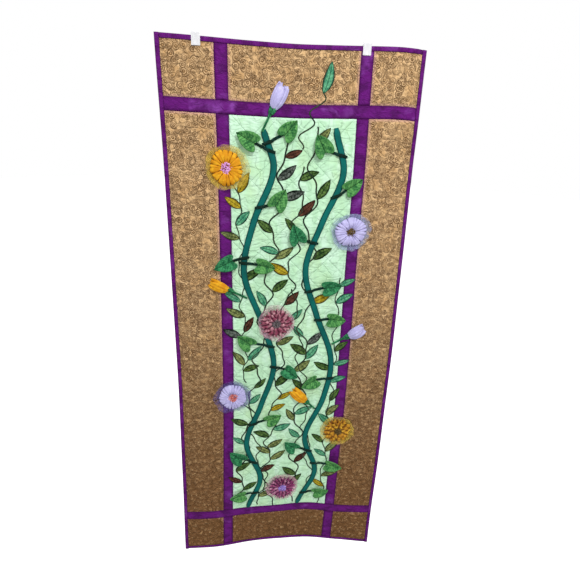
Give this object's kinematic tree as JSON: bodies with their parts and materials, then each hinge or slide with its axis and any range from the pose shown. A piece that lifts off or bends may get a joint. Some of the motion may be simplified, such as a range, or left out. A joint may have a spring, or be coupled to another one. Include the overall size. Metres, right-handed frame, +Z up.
{
  "type": "quilted wall hanging with hanging clips",
  "caption": "Tall pieced and quilted cotton wall hanging with bound edge, bias tape vines, stuffed leaves and gathered flowers, held by two plain clips.",
  "frame": {"origin": "middle of the hanging's top edge, where the two clips hold it", "axes": "+Z up, the cloth hangs down along -Z; +X to the right of someone facing the front; the front faces -Y"},
  "size_m": [0.6796, 0.0525, 1.6585],
  "materials": {
    "quilted_cotton": "matt printed and hand-dyed cotton, quilted",
    "binding_purple": "matt hand-dyed cotton",
    "bias_teal": "matt plain cotton bias tape",
    "stem_dark": "matt dark green printed cotton",
    "leaf_green": "matt mottled green cotton, stitched veins",
    "calyx_green": "matt mottled green cotton",
    "lilac": "soft pleated plain cotton",
    "gold": "soft pleated cotton with a slight sheen",
    "rose": "gathered mottled cotton",
    "net_yellow": "sheer net",
    "net_mist": "sheer net",
    "net_pink": "sheer net",
    "net_violet": "sheer net",
    "tuft_pink": "thread tuft",
    "tuft_brown": "thread tuft",
    "tuft_grey": "thread tuft",
    "tuft_red": "thread tuft",
    "tuft_lilac": "thread tuft",
    "clip_white": "plain white moulded plastic"
  },
  "bodies": {
    "root": {"quilt": "quilted_cotton", "binding_top": "binding_purple", "binding_left": "binding_purple", "binding_right": "binding_purple", "binding_bottom": "binding_purple", "vine_left": "bias_teal", "vine_right": "bias_teal", "stem_01": "stem_dark", "leaf_01": "leaf_green", "stem_02": "stem_dark", "leaf_02": "leaf_green", "stem_03": "stem_dark", "leaf_03": "leaf_green", "stem_04": "stem_dark", "leaf_04": "leaf_green", "stem_05": "stem_dark", "leaf_05": "leaf_green", "stem_06": "stem_dark", "leaf_06": "leaf_green", "stem_07": "stem_dark", "leaf_07": "leaf_green", "stem_08": "stem_dark", "leaf_08": "leaf_green", "stem_09": "stem_dark", "leaf_09": "leaf_green", "stem_10": "stem_dark", "leaf_10": "leaf_green", "stem_11": "stem_dark", "leaf_11": "leaf_green", "stem_12": "stem_dark", "leaf_12": "leaf_green", "net_gold": "net_yellow", "puff_gold": "gold", "tuft_gold": "tuft_pink", "net_lilac": "net_mist", "puff_lilac": "lilac", "tuft_lilac": "tuft_brown", "net_rose": "net_pink", "puff_rose": "rose", "tuft_rose": "tuft_grey", "net_violet": "net_violet", "puff_violet": "lilac", "tuft_violet": "tuft_red", "net_amber": "net_yellow", "puff_amber": "gold", "tuft_amber": "tuft_brown", "net_plum": "net_pink", "puff_plum": "rose", "tuft_plum": "tuft_lilac", "calyx_top": "calyx_green", "bud_top": "lilac", "calyx_left": "calyx_green", "bud_left": "gold", "calyx_right": "calyx_green", "bud_right": "lilac", "calyx_middle": "calyx_green", "bud_middle": "gold", "clip_left": "clip_white", "clip_right": "clip_white"}
  },
  "joints": []
}
